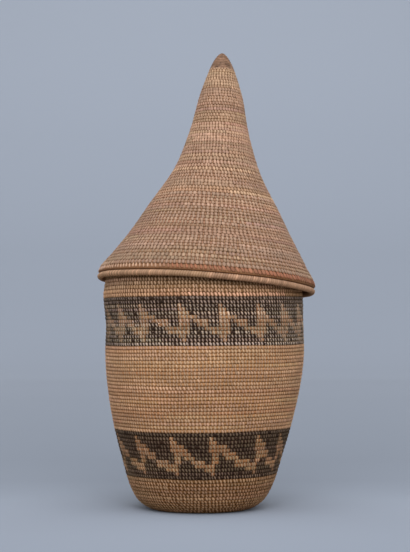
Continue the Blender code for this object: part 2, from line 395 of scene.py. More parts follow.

# Painted light and shade on the paper along its run, from its front edge back and up, as (depth plus
# height, share)
PAPER_SHADES = (
    (-3.0, 0.85), (-2.0, 0.42), (-1.2, 0.55), (-0.25, 0.83), (-0.01, 0.965), (0.05, 0.948), (0.12, 0.855),
    (0.19, 0.80), (0.38, 0.804), (0.62, 0.865), (0.97, 0.95), (1.5, 1.09), (2.2, 1.345), (2.3, 1.35),
    (2.4, 1.29), (2.62, 1.262), (2.87, 1.232), (3.12, 1.236), (3.6, 1.405), (4.1, 1.68),
)

# The light that the paper throws back, the colour of the even light, and the share of the paper's colour that
# shows past its edges
PAPER_BOUNCE = (0.22, 0.20, 0.17)
SKY_LIGHT = (1.0, 0.98, 0.95)
FAR_PAPER = 0.82

# Lamps: each one's place, the setting that holds its power, and its colour
WARM = (1.0, 0.985, 0.96)
WHITE = (1.0, 1.0, 1.0)
LAMPS = {
    "key_lamp": ((0.0, -2.2, 1.2), "key", WARM),
    "left_lamp": ((-1.8, -1.0, 1.1), "left", WARM),
    "right_lamp": ((2.0, -0.9, 0.9), "right", WARM),
    "top_lamp": ((0.0, -0.7, 2.3), "top", WHITE),
    "back_left_lamp": ((-1.8, 1.6, 1.0), "back", WARM),
    "back_right_lamp": ((1.8, 1.6, 1.0), "back", WARM),
}
LAMP_SIZE = 1.5
LAMP_TARGET = (0.0, 0.0, 0.12)


def colour_prop(name, description, default):
    """A colour that a user can change."""
    return FloatVectorProperty(
        name=name, description=description, default=default, subtype="COLOR", min=0, max=1
    )


def length_prop(name, description, default):
    """A length that a user can change."""
    return FloatProperty(name=name, description=description, default=default, unit="LENGTH", precision=5)


def share_prop(name, description, default):
    """A share that a user can change."""
    return FloatProperty(name=name, description=description, default=default, subtype="FACTOR")


def angle_prop(name, description, default):
    """An angle that a user can change."""
    return FloatProperty(name=name, description=description, default=default, subtype="ANGLE")


def power_prop(name, description, default):
    """A lamp's power that a user can change."""
    return FloatProperty(name=name, description=description, default=default, unit="POWER")


class BasketCoil(PropertyGroup):
    """Sizes of the coil and of the strip that it is sewn with."""

    thickness: length_prop("Coil Thickness", "Coil from the outside of the wall to its inside", 0.0028)
    strip: length_prop("Strip Thickness", "How far a stitch stands over the coil", 0.00030)
    dip: length_prop("Stitch Dip", "How far a stitch sinks where it meets the next row", 0.00042)
    stitch_width: share_prop("Stitch Width", "Share of the stitch spacing that a strip covers", 0.62)
    stitch_spacing: length_prop("Stitch Spacing", "From one stitch to the next on the body", 0.0023)
    slant: angle_prop("Stitch Slant", "Lean of a stitch to the left", math.radians(17))
    unevenness: length_prop("Unevenness", "How far a hand-sewn wall swells in and out", 0.00030)
    seed: IntProperty(name="Seed", description="Changes the run of the strips", default=7)


class BasketColours(PropertyGroup):
    """Colours of the strips and of the grass."""

    natural: colour_prop("Natural Strip", "Plain stitches of the body", (0.545, 0.355, 0.24))
    grass: colour_prop("Grass", "Coil that shows between plain stitches", (0.435, 0.23, 0.110))
    dyed: colour_prop("Dyed Black", "Coil of the bands", (0.030, 0.0145, 0.009))
    band_stitch: colour_prop("Band Stitch", "Stitches over the black coil", (0.355, 0.29, 0.255))
    motif: colour_prop("Motif", "Stitches of the zigzags", (0.415, 0.322, 0.252))
    motif_grass: colour_prop("Motif Grass", "Coil between the zigzags' stitches", (0.31, 0.160, 0.080))
    rosy: colour_prop("Rosy Strip", "Stitches of the lid's wide part", (0.38, 0.250, 0.183))
    pale: colour_prop("Pale Strip", "Stitches of the lid's upper part", (0.43, 0.277, 0.195))
    lid_grass: colour_prop("Lid Grass", "Coil between the lid's stitches", (0.34, 0.19, 0.12))
    rim: colour_prop("Rim Strip", "Wraps of the lid's rim", (0.42, 0.258, 0.172))
    border: colour_prop("Border Strip", "The left side of the row above the rim", (0.50, 0.335, 0.255))
    russet: colour_prop("Russet Strip", "The reddish row above the rim", (0.315, 0.140, 0.085))
    border_grass: colour_prop("Border Grass", "Coil of the row above the rim", (0.28, 0.14, 0.075))
    tip: colour_prop("Tip Brown", "The wrapped tip", (0.25, 0.15, 0.104))
    backdrop: colour_prop("Backdrop", "Seamless studio paper", (0.336, 0.387, 0.484))


class BasketStudio(PropertyGroup):
    """Brightness of the studio's lamps."""

    key: power_prop("Key", "Large lamp in front", 35.0)
    left: power_prop("Left", "Weak lamp at the left", 1.2)
    right: power_prop("Right", "Weak lamp at the right", 3.8)
    top: power_prop("Top", "Lamp overhead", 14.0)
    back: power_prop("Back", "Each of the two lamps behind", 7.0)
    sky: FloatProperty(name="Sky", description="Even light from all round", default=0.67)


def flowing(stations, start, end, spans=16):
    """A cubic through (radius, height) stations that leaves along start and arrives along end."""
    points = np.array(stations)
    steps = np.diff(points, axis=0)
    chords = np.linalg.norm(steps, axis=1)
    headings = steps / chords[:, None]
    before, after = chords[:-1, None], chords[1:, None]
    inner = (headings[:-1] * after + headings[1:] * before) / (before + after)
    tangents = np.vstack([start, inner, end])
    t = np.linspace(0.0, 1.0, spans, endpoint=False)[:, None]
    curves = [
        (2 * t**3 - 3 * t**2 + 1) * points[i]
        + (t**3 - 2 * t**2 + t) * chord * tangents[i]
        + (3 * t**2 - 2 * t**3) * points[i + 1]
        + (t**3 - t**2) * chord * tangents[i + 1]
        for i, chord in enumerate(chords)
    ]
    return np.vstack(curves + [points[-1:]])


def lid_seat():
    """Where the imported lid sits: the middle of its rim cord and the turn from upright to its lean."""
    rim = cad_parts["lid_rim_cord"].data
    points = np.empty(len(rim.vertices) * 3)
    rim.vertices.foreach_get("co", points)
    points = points.reshape(-1, 3)
    middle = points.mean(0)
    upright = np.linalg.svd(points - middle, full_matrices=False)[2][2]
    axis = Vector(upright * np.sign(upright[2]))
    return middle, np.array(Vector((0.0, 0.0, 1.0)).rotation_difference(axis).to_matrix())


def waves(table, angles, lengths):
    """The sum of a table's waves: each one's share times the sine of its number times the angle, plus its
    phase, plus the length over its run."""
    return sum(share * np.sin(number * angles + phase + lengths / run) for share, number, phase, run in table)


class Wall:
    """An outline turned about a middle line that strays a little, and carried to its seat.

    A place on it has three numbers: the angle round the axis, the length along the outline, and the height
    over it along its outward normal. Slow waves in the angle and the length make it swell and its rows wander
    by hand, but not near the axis nor near the calm level, and it is worn flat where it would pass under that
    level.
    """

    EXTRA = 0.006
    CALM_RADIUS = 0.03
    CALM_HEIGHT = 0.012

    def __init__(self, outline, stray, calm_level, seat=None):
        low, high = outline[1] - outline[0], outline[-1] - outline[-2]
        first = outline[0] - self.EXTRA * low / np.linalg.norm(low)
        last = outline[-1] + self.EXTRA * high / np.linalg.norm(high)
        self.outline = np.vstack([first, outline, last])
        steps = np.linalg.norm(np.diff(self.outline, axis=0), axis=1)
        self.lengths = np.concatenate([[0.0], np.cumsum(steps)]) - self.EXTRA
        slopes = np.gradient(self.outline, self.lengths, axis=0)
        slopes /= np.linalg.norm(slopes, axis=1)[:, None]
        self.outward = np.column_stack([slopes[:, 1], -slopes[:, 0]])
        self.stray = np.array(stray)
        self.calm_level = calm_level
        self.seat = seat

    def length_at(self, height):
        """The length along the outline to a height on it."""
        return float(np.interp(height, self.outline[:, 1], self.lengths))

    def radius_at(self, length):
        """The outline's radius at a length."""
        return np.interp(length, self.lengths, self.outline[:, 0])

    def level_at(self, length):
        """The outline's height at a length."""
        return np.interp(length, self.lengths, self.outline[:, 1])

    def place(self, angles, lengths, heights, unevenness):
        """The points at some angles, lengths and heights: the outline's point plus its normal times the
        height, turned about the axis by the angle."""
        calm = np.clip(self.radius_at(lengths) / self.CALM_RADIUS, 0.0, 1.0)
        calm = calm * np.clip((self.level_at(lengths) - self.calm_level) / self.CALM_HEIGHT, 0.0, 1.0)
        heights = heights + unevenness * waves(SWELL_WAVES, angles, lengths) * calm
        lengths = lengths + WANDER_SHARE * unevenness * waves(WANDER_WAVES, angles, lengths) * calm
        radius = self.radius_at(lengths) + heights * np.interp(lengths, self.lengths, self.outward[:, 0])
        level = self.level_at(lengths) + heights * np.interp(lengths, self.lengths, self.outward[:, 1])
        level = np.maximum(level, self.calm_level)
        return self.seated(radius * np.cos(angles), radius * np.sin(angles), level)

    def seated(self, across, deep, level):
        """Points of the wall's own frame, strayed to the side and carried to its seat."""
        sideways = np.interp(level, self.stray[:, 0], self.stray[:, 1])
        points = np.stack([across + sideways, deep, level], axis=-1)
        if self.seat is not None:
            middle, turn = self.seat
            points = points @ turn.T + middle
        return points


def body_wall():
    """The basket's wall, from the middle of its underside to its mouth."""
    stations = [BASE_EDGE, HEEL, FOOT, ANKLE, FLANK, BELLY, WAIST, NECK, MOUTH]
    outline = np.vstack([[(0.0, 0.0)], flowing(stations, (1.0, 0.0), (0.0, 1.0))])
    return Wall(outline, BODY_STRAY, 0.0)


def lid_wall():
    """The lid's wall, from above its rim cord to the foot of its tip."""
    stations = [HEM, BROW, FLARE, CONE, SHOULDER, SPIRE, POINT, TIP_BASE]
    last = np.subtract(stations[-1], stations[-2])
    outline = flowing(stations, (0.0, 1.0), last / np.linalg.norm(last))
    return Wall(outline, LID_STRAY, -Wall.CALM_HEIGHT, lid_seat())


def groove_lines(bounds, rows, coarse=0, coarseness=1.0):
    """The helical groove under and over the rows of each stretch, as knots of (turns, length along the wall).

    A groove climbs by one row's height over its first turn, past the stretch's lower bound half way round, at
    the front, and again over its last turn at the upper bound. It is flat at the top of the last stretch.
    Neighbours hand over the same height, so one groove runs on through all the stretches.
    """
    bounds = np.array(bounds)
    rows = np.array(rows)
    heights = np.diff(bounds) / rows
    handed = np.concatenate([heights[:1], (heights[1:] + heights[:-1]) / 2, [0.0]])
    lines = []
    for i, count in enumerate(rows):
        turns = [0, 1, count, count + 1]
        low, high = handed[i] / 2, handed[i + 1] / 2
        lengths = [bounds[i] - low, bounds[i] + low, bounds[i + 1] - high, bounds[i + 1] + high]
        if coarse and i == 0:
            fine = (lengths[2] - bounds[0]) / (count - 0.5 + (coarse + 0.5) * (coarseness - 1))
            lengths[:2] = [bounds[0] - coarseness * fine / 2, bounds[0] + coarseness * fine / 2]
            turns.insert(2, 1 + coarse)
            lengths.insert(2, lengths[1] + coarse * coarseness * fine)
        lines.append((np.array(turns, float), np.array(lengths)))
    return lines


class Stretch:
    """A stretch of coil: its wall, its rows, the grooves under and over them, and the stitches of each row.

    After a number of turns the coil lies between the groove at that many turns and the groove one turn later.
    """

    def __init__(self, wall, rows, line, spacing, step=STITCH_STEP, stitches=None, upper_line=None):
        self.wall = wall
        self.rows = rows
        self.below = line
        self.above = upper_line or (line[0] - 1, line[1])
        middles = wall.radius_at(self.middle(np.arange(rows) + 0.5))
        counts = np.maximum(np.round(2 * np.pi * middles / spacing / step), 1) * step
        self.counts = np.full(rows, stitches) if stitches else counts.astype(int)
        self.row = np.repeat(np.arange(rows), self.counts)
        firsts = np.repeat(np.cumsum(self.counts) - self.counts, self.counts)
        self.place_in_row = np.arange(self.row.size) - firsts
        self.edges = np.append(self.row + self.place_in_row / self.counts[self.row], rows)
        self.middles = (self.edges[1:] + self.edges[:-1]) / 2
        self.spacing = 2 * np.pi * wall.radius_at(self.middle(self.middles)) / self.counts[self.row]

    def middle(self, turns):
        """The length along the wall to the middle of the coil after a number of turns."""
        return (np.interp(turns, *self.below) + np.interp(turns, *self.above)) / 2

    def half(self, turns):
        """Half the coil's height along the wall after a number of turns."""
        return (np.interp(turns, *self.above) - np.interp(turns, *self.below)) / 2

    def angle(self, turns):
        """The angle round the axis after a number of turns from the back."""
        return SEAM + 2 * np.pi * turns


def body_stretch(context, index, step=STITCH_STEP, stitches=None):
    """One of the body's stretches, counted from the underside up."""
    wall = body_wall()
    changes = (LOWER_BAND_BOTTOM, LOWER_BAND_TOP, UPPER_BAND_BOTTOM, UPPER_BAND_TOP, MOUTH[1])
    lines = groove_lines([0.0, BASE_EDGE[0], *map(wall.length_at, changes)], BODY_ROWS)
    spacing = context.scene.basket_coil.stitch_spacing
    return Stretch(wall, BODY_ROWS[index], lines[index], spacing, step, stitches)


def lid_lines(wall):
    """The grooves of the lid's stretches above its border row."""
    changes = (BORDER_TOP, SKIRT_TOP, SHOULDER_TOP, TIP_BASE[1])
    return groove_lines([*map(wall.length_at, changes)], LID_ROWS, COARSE_ROWS, COARSENESS)


def lid_stretch(index, spacing, step):
    """One of the lid's stretches above its border row, counted from the lowest up."""
    wall = lid_wall()
    return Stretch(wall, LID_ROWS[index], lid_lines(wall)[index], spacing, step)


def section():
    """The coil's closed section, a superellipse, from its outermost point up and round."""
    turn = 2 * np.pi * np.arange(SECTION_POINTS) / SECTION_POINTS
    across = np.sign(np.sin(turn)) * np.abs(np.sin(turn)) ** (2 / SECTION_POWER)
    outward = np.sign(np.cos(turn)) * np.abs(np.cos(turn)) ** (2 / SECTION_POWER)
    return across, outward


def section_top(across):
    """How far out the section's facets lie at a place across the row."""
    sides, outward = section()
    upper = SECTION_POINTS // 4 + 1
    return np.interp(np.abs(across), sides[:upper], outward[:upper])


def ring_corners(rings, points):
    """The corners of the faces between rings of points: the number of each one's ring, and of its point."""
    i, j = np.meshgrid(np.arange(rings), np.arange(points), indexing="ij")
    along = np.stack([i, i + 1, i + 1, i], axis=-1).reshape(-1, 4)
    about = np.stack([j, j, j + 1, j + 1], axis=-1).reshape(-1, 4)
    return along, about


def disc_faces(points):
    """The faces that close a ring of points: strips from one side of the ring to the other."""
    k = np.arange(points // 2 - 1)
    return np.column_stack([k, k + 1, points - 2 - k, points - 1 - k])


def in_margins(share):
    """A share of a row of a flat sheet, kept out of the row's margins."""
    return share * (1 - 2 * SHEET_MARGIN) + SHEET_MARGIN


def set_inputs(node, **values):
    """Sets a node's own sockets. A name's underscores stand for spaces."""
    for name, value in values.items():
        node.inputs[name.replace("_", " ")].default_value = value


def mapped(nodes, links, value, low, high, to_low, to_high):
    """A socket's value, carried from one range to another and held there."""
    node = nodes.new("ShaderNodeMapRange")
    set_inputs(node, From_Min=low, From_Max=high, To_Min=to_low, To_Max=to_high)
    links.new(value, node.inputs["Value"])
    return node.outputs["Result"]


def strip_material(name, roughness, fibre, patina, stain):
    """Plant strip: its tint, streaked along its fibres, stained in patches, with a fine fibrous bump.

    fibre is the fibres' spacing, patina the size of the stains, and stain how much darker or paler they are.
    """
    material = bpy.data.materials.new(name)
    material.use_nodes = True
    nodes, links = material.node_tree.nodes, material.node_tree.links
    shader = nodes["Principled BSDF"]
    set_inputs(shader, Specular_IOR_Level=0.2)
    tint = nodes.new("ShaderNodeAttribute")
    tint.attribute_name = "tint"
    strip_map = nodes.new("ShaderNodeUVMap")
    strip_map.uv_map = "strip_uv"
    drawn = nodes.new("ShaderNodeMapping")
    set_inputs(drawn, Scale=(1 / fibre, FIBRE_STRETCH / fibre, 1.0))
    links.new(strip_map.outputs["UV"], drawn.inputs["Vector"])
    streaks = nodes.new("ShaderNodeTexNoise")
    set_inputs(streaks, Scale=1.0, Detail=3.0)
    links.new(drawn.outputs["Vector"], streaks.inputs["Vector"])
    place = nodes.new("ShaderNodeTexCoord")
    stains = nodes.new("ShaderNodeTexNoise")
    set_inputs(stains, Scale=1 / patina, Detail=5.0, Roughness=0.6)
    links.new(place.outputs["Object"], stains.inputs["Vector"])
    streaky = mapped(nodes, links, streaks.outputs["Fac"], *NOISE_RANGE, *STREAKS)
    stained = mapped(nodes, links, stains.outputs["Fac"], *NOISE_RANGE, 1 - stain, 1 + stain)
    both = nodes.new("ShaderNodeMath")
    both.operation = "MULTIPLY"
    links.new(streaky, both.inputs[0])
    links.new(stained, both.inputs[1])
    coloured = nodes.new("ShaderNodeVectorMath")
    coloured.operation = "SCALE"
    links.new(tint.outputs["Color"], coloured.inputs[0])
    links.new(both.outputs[0], coloured.inputs["Scale"])
    links.new(coloured.outputs[0], shader.inputs["Base Color"])
    gloss = (roughness + GLOSS_SPREAD, roughness - GLOSS_SPREAD)
    links.new(mapped(nodes, links, streaks.outputs["Fac"], *NOISE_RANGE, *gloss), shader.inputs["Roughness"])
    bump = nodes.new("ShaderNodeBump")
    set_inputs(bump, Strength=0.6, Distance=FIBRE_RELIEF)
    links.new(streaks.outputs["Fac"], bump.inputs["Height"])
    links.new(bump.outputs["Normal"], shader.inputs["Normal"])
    return material


def finish_of(slot):
    """The material of one of the record's slots, made when it is first asked for."""
    name = "sewn_" + slot
    return bpy.data.materials.get(name) or strip_material(name, **MATERIALS[slot])


def new_piece(name, node, points, faces, maps, tint, replaces=False):
    """A mesh object from arrays of points and four-cornered faces, on a CAD node's body and in its slot.

    maps holds each UV map's corners, and tint a colour for each point or for each face's each corner.
    """
    points, tint = points.reshape(-1, 3), tint.reshape(-1, 3)
    mesh = bpy.data.meshes.new(name)
    mesh.vertices.add(len(points))
    mesh.vertices.foreach_set("co", points.astype(np.float32).ravel())
    mesh.loops.add(faces.size)
    mesh.loops.foreach_set("vertex_index", faces.astype(np.int32).ravel())
    mesh.polygons.add(len(faces))
    mesh.polygons.foreach_set("loop_start", np.arange(0, faces.size, 4, dtype=np.int32))
    mesh.update(calc_edges=True)
    for map_name, corners in maps.items():
        mesh.uv_layers.new(name=map_name).uv.foreach_set("vector", corners.astype(np.float32).ravel())
    domain = "POINT" if len(tint) == len(points) else "CORNER"
    colours = np.concatenate([tint, np.ones((len(tint), 1))], axis=1).astype(np.float32)
    mesh.attributes.new("tint", "FLOAT_COLOR", domain).data.foreach_set("color", colours.ravel())
    body, slot = NODES[node]
    mesh.materials.append(finish_of(slot))
    mesh.shade_smooth()
    piece = bpy.data.objects.new(name, mesh)
    bpy.context.scene.collection.objects.link(piece)
    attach(piece, body)
    if replaces:
        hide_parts(node)


def coil(name, node, stretch, colours, settings, stand):
    """One stretch of the grass coil.

    The section, half the wall thick and half a row high, is set a share of the strip's thickness under the
    crest and carried along the helix. colours holds the coil's colour at each stitch, and painted shade makes
    its grooves, its inner side and its two ends dimmer.
    """
    across, outward = section()
    turns = stretch.edges[:, None]
    heights = settings.thickness / 2 * (outward - 1) - settings.strip * stand
    angles = stretch.angle(turns) + 0 * across
    lengths = stretch.middle(turns) + stretch.half(turns) * across * ROW_OVERLAP
    points = stretch.wall.place(angles, lengths, heights + 0 * lengths, settings.unevenness)
    columns = stretch.middles.size
    along, about = ring_corners(columns, SECTION_POINTS)
    stitch = along[:, :1]
    cap = disc_faces(SECTION_POINTS)
    sides = along * SECTION_POINTS + about % SECTION_POINTS
    faces = np.vstack([sides, cap, cap[:, ::-1] + columns * SECTION_POINTS])
    # Painted shade: darker in the grooves, on the inner side and at the two ends
    shade = GROOVE_SHADE + (1 - GROOVE_SHADE) * np.clip(outward, 0.0, 1.0) ** GROOVE_POWER
    shade[outward < 0] = COIL_INNER_SHADE
    side_colours = colours[stitch] * shade[about % SECTION_POINTS][..., None] ** SHADED
    tint = np.vstack([side_colours, np.broadcast_to(colours[0] * COIL_END_SHADE, (2 * len(cap), 4, 3))])
    run = np.concatenate([[0.0], np.cumsum(stretch.spacing)])
    girth = 2 * (stretch.half(stretch.middles).mean() * 2 + settings.thickness) / SECTION_POINTS
    fibre_map = np.stack([about * girth, run[along]], axis=-1)
    fibre_map = np.vstack([fibre_map, np.zeros((2 * len(cap), 4, 2))])
    row = stretch.row[stitch]
    sheet_x = (stretch.place_in_row[stitch] + along - stitch) / stretch.counts[row]
    sheet_y = (row + in_margins(about / SECTION_POINTS)) / stretch.rows
    corner = SHEET_CORNER * np.array([(0, 0), (1, 0), (1, 1), (0, 1)])
    sheet = np.stack([sheet_x, sheet_y], axis=-1)
    sheet = np.vstack([sheet, np.broadcast_to(corner, (2 * len(cap), 4, 2))])
    maps = {"strip_uv": fibre_map, "OFBake": sheet}
    new_piece(name, node, points, faces, maps, tint, replaces=True)


def stitch_faces(rows):
    """The faces of one stitch of some rows of points: its top, its underside and its two ends."""
    points = STITCH_ACROSS.size
    i, j = np.meshgrid(np.arange(rows - 1), np.arange(points - 1), indexing="ij")
    corner = (i * points + j).ravel()
    top = np.column_stack([corner, corner + 1, corner + 1 + points, corner + points])
    row = np.arange(rows - 1) * points
    last = points - 1
    under = np.column_stack([row + last, row, row + points, row + last + points])
    ends = np.array([[3, 2, 1, 0], [0, 1, 2, 3]]) + np.array([[0], [(rows - 1) * points]])
    return np.vstack([top, under, ends])


def stitch_sheet(rows):
    """One stitch's faces laid flat in a unit square, for a picture of its colours: its four columns, with its
    two ends below and above them."""
    column = SHEET_COLUMNS
    row = SHEET_LOWEST + SHEET_HEIGHT * np.arange(rows) / (rows - 1)
    under = STITCH_ACROSS.size - 1
    i, j = np.meshgrid(np.arange(rows - 1), np.arange(under), indexing="ij")
    i, j = np.append(i.ravel(), np.arange(rows - 1)), np.append(j.ravel(), np.full(rows - 1, under))
    x = np.stack([column[j], column[j + 1], column[j + 1], column[j]], axis=-1)
    y = np.stack([row[i], row[i], row[i + 1], row[i + 1]], axis=-1)
    return np.vstack([np.stack([x, y], axis=-1), [SHEET_LOW_END, SHEET_HIGH_END]])


def stitches(name, node, stretch, colours, settings, rng, width, narrowing, dip, ends, edges, stand,
             slant=1.0, bare=0.0, inside=False):
    """The stitches of a stretch, each a closed strip of its own over the coil, or on its inner side.

    With u from -1 to 1 across the strip and v from -1 to 1 along it, a point is at the stitch's middle angle
    plus (u half widths minus v half rows times the tangent of the slant) and v half rows up the wall. The
    strip's back dips by a power of v towards its ends, and its edges lie a little under the coil's facets,
    but bridge its grooves. The shares of a look are each one number or one for every stitch.
    """
    count = stretch.middles.size
    along = INNER_ALONG if inside else STITCH_ALONG
    rows = along.size
    v = along[None, :, None]
    u = STITCH_ACROSS
    shares = np.array([np.broadcast_to(share, count) for share in (narrowing, dip, ends, edges)])
    narrowing, dip, ends, edges = shares[..., None, None]
    wide = stretch.spacing * settings.stitch_width * width * (1 + WIDTH_SPREAD * rng.standard_normal(count))
    lean = np.tan(settings.slant * slant * (1 + SLANT_SPREAD * rng.standard_normal(count)))
    shift = SHIFT_SPREAD * stretch.spacing * rng.standard_normal(count)
    thick = np.clip(THICKNESS_SPREAD * rng.standard_normal(count), -THICKNESS_LIMIT, THICKNESS_LIMIT)
    thick = (settings.strip * thick)[:, None, None]
    wide = wide[:, None, None]
    half = stretch.half(stretch.middles)
    across = bare + (1 - bare) * v + REACH_SPREAD * rng.standard_normal(count)[:, None, None]
    sideways = shift[:, None, None] - (lean * half)[:, None, None] * v
    sideways = wide / 2 * u * (1 - narrowing * v**2) + sideways
    half = half[:, None, None]
    angle = sideways / stretch.wall.radius_at(stretch.middle(stretch.middles))[:, None, None]
    turns = stretch.middles[:, None, None] + angle / (2 * np.pi)
    lengths = stretch.middle(turns) + half * across
    facets = settings.thickness / 2 * (section_top(across) - 1) - settings.strip * stand
    back = thick - settings.dip * dip * np.abs(across) ** DIP_POWER
    sides = np.maximum(facets - settings.strip / EDGE_SINK, back - BRIDGE)
    heights = np.where(np.abs(u) == 1, sides, back) + 0 * lengths
    one, sheet = stitch_faces(rows), stitch_sheet(rows)
    if inside:
        heights = -heights - settings.thickness - 2 * settings.strip * stand
        one, sheet = one[:, ::-1], sheet[:, ::-1]
    points = stretch.wall.place(stretch.angle(turns), lengths, heights, settings.unevenness)
    faces = (one[None] + (np.arange(count) * rows * u.size)[:, None, None]).reshape(-1, 4)
    # Painted shade: each stitch darker towards its ends, where it dips to the groove, and along its edges
    shade = (1 - (1 - ends) * np.minimum(np.abs(v), 1.0) ** 2) * np.where(np.abs(u) == 1, edges, 1.0)
    tint = colours[:, None, None, :] * shade[..., None] ** SHADED
    strip_u = (u * 0.5) * wide + 0 * across
    fibre_map = np.stack([strip_u, across * half + 0 * strip_u], axis=-1).reshape(count, -1, 2)
    fibre_map = (fibre_map + rng.uniform(0.0, FIBRE_SHIFT, size=(count, 1, 2)))[:, one.ravel(), :]
    grid = math.ceil(math.sqrt(count))
    cell = np.stack([np.arange(count) % grid, np.arange(count) // grid], axis=-1)
    maps = {"strip_uv": fibre_map, "OFBake": (sheet[None] + cell[:, None, None, :]) / grid}
    new_piece(name, node, points, faces, maps, tint)


def wrapped_cord(name, node, wall, length, radius, lean, colours, settings):
    """A round cord, closely wrapped: a circle carried round the axis whose radius swells over each wrap.

    At angle a and about the section by s, the radius is the cord's less a share of the strip's thickness that
    is greatest where one wrap meets the next. The wraps lean, so where they meet moves on with s. colours has
    one colour for each wrap, which painted shade darkens where one wrap meets the next.
    """
    wraps = len(colours)
    steps = wraps * WRAP_POINTS
    a = np.arange(steps)[:, None] / steps
    s = np.arange(CORD_POINTS)[None, :] / CORD_POINTS
    turned = a * wraps + lean * (s - 0.5) * (1 - np.abs(2 * s - 1))
    crest = 1 - np.abs(2 * np.mod(turned, 1.0) - 1) ** WRAP_POWER
    cord = radius - settings.strip * (1 - crest)
    lengths, heights = length + cord * np.sin(2 * np.pi * s), cord * np.cos(2 * np.pi * s) - radius
    points = wall.place(SEAM + 2 * np.pi * a + 0 * s, lengths, heights, settings.unevenness)
    along, about = ring_corners(steps, CORD_POINTS)
    faces = along % steps * CORD_POINTS + about % CORD_POINTS
    wrap = np.floor(turned).astype(int) % wraps
    # Painted shade where one wrap meets the next
    tint = colours[wrap] * (WRAP_SHADE + (1 - WRAP_SHADE) * crest)[..., None] ** SHADED
    run, ring = along / steps, about / CORD_POINTS
    circumference = 2 * np.pi * wall.radius_at(length)
    fibre_map = np.stack([run * circumference, ring * 2 * np.pi * radius], axis=-1)
    fold = np.minimum(along[:, :1] * CORD_FOLDS // steps, CORD_FOLDS - 1)
    sheet = np.stack([run * CORD_FOLDS - fold, (fold + in_margins(ring)) / CORD_FOLDS], axis=-1)
    new_piece(name, node, points, faces, {"strip_uv": fibre_map, "OFBake": sheet}, tint, replaces=True)


def strands(rng, count, run):
    """Which strand each stitch of a run is sewn with: strands of random length, one after another."""
    shortest, longest = run
    runs = rng.integers(shortest, longest, size=count // shortest + 2)
    return np.repeat(np.arange(runs.size), runs)[:count]


def tints(rng, strand, bright, hue, each):
    """A tint for each stitch: one for its strand, brighter or darker and rosy or olive, and a little its own.

    Some strands are paler, and some reddish.
    """
    number = strand.max() + 1
    tone = bright * rng.standard_normal(number) + PALER * bright * (rng.random(number) < PALER_SHARE)
    log = tone[:, None] + hue * rng.standard_normal(number)[:, None] * ROSY
    log = log + (rng.random(number) < REDDISH_SHARE)[:, None] * REDDISH
    return np.exp(log[strand] + each * rng.standard_normal(strand.size)[:, None])


def sewn(context, name, node, stretch, strip, grass, look, bright, each, inside=True):
    """A sewn stretch: its coil, which stands for the CAD node, its stitches and, where it shows, their inner
    side. bright and each say how unlike its strands and its single stitches are."""
    settings = context.scene.basket_coil
    rng = np.random.default_rng([settings.seed, stretch.rows, stretch.middles.size])
    count = stretch.middles.size
    kind = strands(rng, count, GRASS_RUN)
    coil_tints = tints(rng, kind, bright * GRASS_BRIGHTNESS, HUE_SPREAD, GRASS_SPREAD)
    strand = strands(rng, count, STRAND_RUN)
    strip_colours = np.asarray(strip) * tints(rng, strand, bright, HUE_SPREAD, each)
    batch = strands(rng, count, BATCH_RUN)
    strip_colours = strip_colours * tints(rng, batch, bright * BATCH_BRIGHTNESS, BATCH_HUE_SPREAD, 0.0)
    kinds = rng.choice(END_SHADES.size, strand.max() + 1, p=END_SHARES)
    # Painted shade: runs of stitches whose ends are darker, as if their grooves stood open
    run = strands(rng, count, OPEN_SHADE_RUN)
    opened = np.where(rng.random(run.max() + 1) < OPEN_SHADE_SHARE, OPEN_END_SHADE, 1.0)
    widths = 1 + STRAND_WIDTHS * rng.uniform(-1, 1, size=strand.max() + 1)
    ends = look["ends"] * END_SHADES[kinds][strand] * opened[run]
    look = {**look, "ends": ends, "width": look["width"] * widths[strand]}
    coil(name + "_coil", node, stretch, np.asarray(grass) * coil_tints, settings, look["stand"])
    stitches(name + "_stitches", node, stretch, strip_colours, settings, rng, **look)
    if inside:
        # Painted shade on the inner side of the stitches
        inner_colours = strip_colours * INNER_SHADE
        stitches(name + "_inner_stitches", node, stretch, inner_colours, settings, rng, inside=True, **look)


def zigzag(stretch, start, spans, motif):
    """Which stitches of a band belong to its zigzag: upright bars, and a slanting line from each bar's
    shoulder down to the next bar's foot."""
    row = stretch.rows - 1 - stretch.row
    since = np.mod(stretch.place_in_row - start, sum(spans))
    bars = np.cumsum((0,) + spans)
    bar = np.searchsorted(bars, since, side="right") - 1
    stitch = since - bars[bar]
    share = (stitch + 0.5) / np.array(spans)[bar]
    table = np.array([motif.get(r, NO_MOTIF) for r in range(stretch.rows)])[row]
    upright = (stitch >= table[:, 0]) & (stitch < table[:, 1])
    return upright | ((share >= table[:, 2]) & (share < table[:, 3]))


def band(context, name, node, stretch, mask, beads, darkening):
    """A band: black coil under pale beads, and natural coil and broad warm stitches where its zigzag runs.

    beads says how light their strips are, at the band's lowest row and at its top row, and darkening how much
    of its red, green and blue the band keeps.
    """
    colours = context.scene.basket_colours
    rise = (stretch.row / (stretch.rows - 1))[:, None]
    pale = np.asarray(colours.band_stitch) * (beads[0] + (beads[1] - beads[0]) * rise)
    strip = np.where(mask[:, None], colours.motif, pale) * darkening
    grass = np.where(mask[:, None], colours.motif_grass, colours.dyed) * darkening
    look = {key: np.where(mask, MOTIF[key], BEADED[key]) for key in BEADED}
    sewn(context, name, node, stretch, strip, grass, {**look, "stand": BAND_STAND}, **BAND_STRANDS)


class BasketOperator:
    """What every operator of the basket shares."""

    bl_options = {"REGISTER"}


class BASKET_OT_base(BasketOperator, Operator):
    """Coil the flat underside, from the middle outwards"""

    bl_idname = "basket.base"
    bl_label = "Base"

    def execute(self, context):
        colours = context.scene.basket_colours
        stretch = body_stretch(context, 0, step=BASE_STITCH_STEP)
        sewn(context, "base", "base_disc", stretch, colours.natural, colours.grass, PLAIN, **STRANDS)
        return {"FINISHED"}


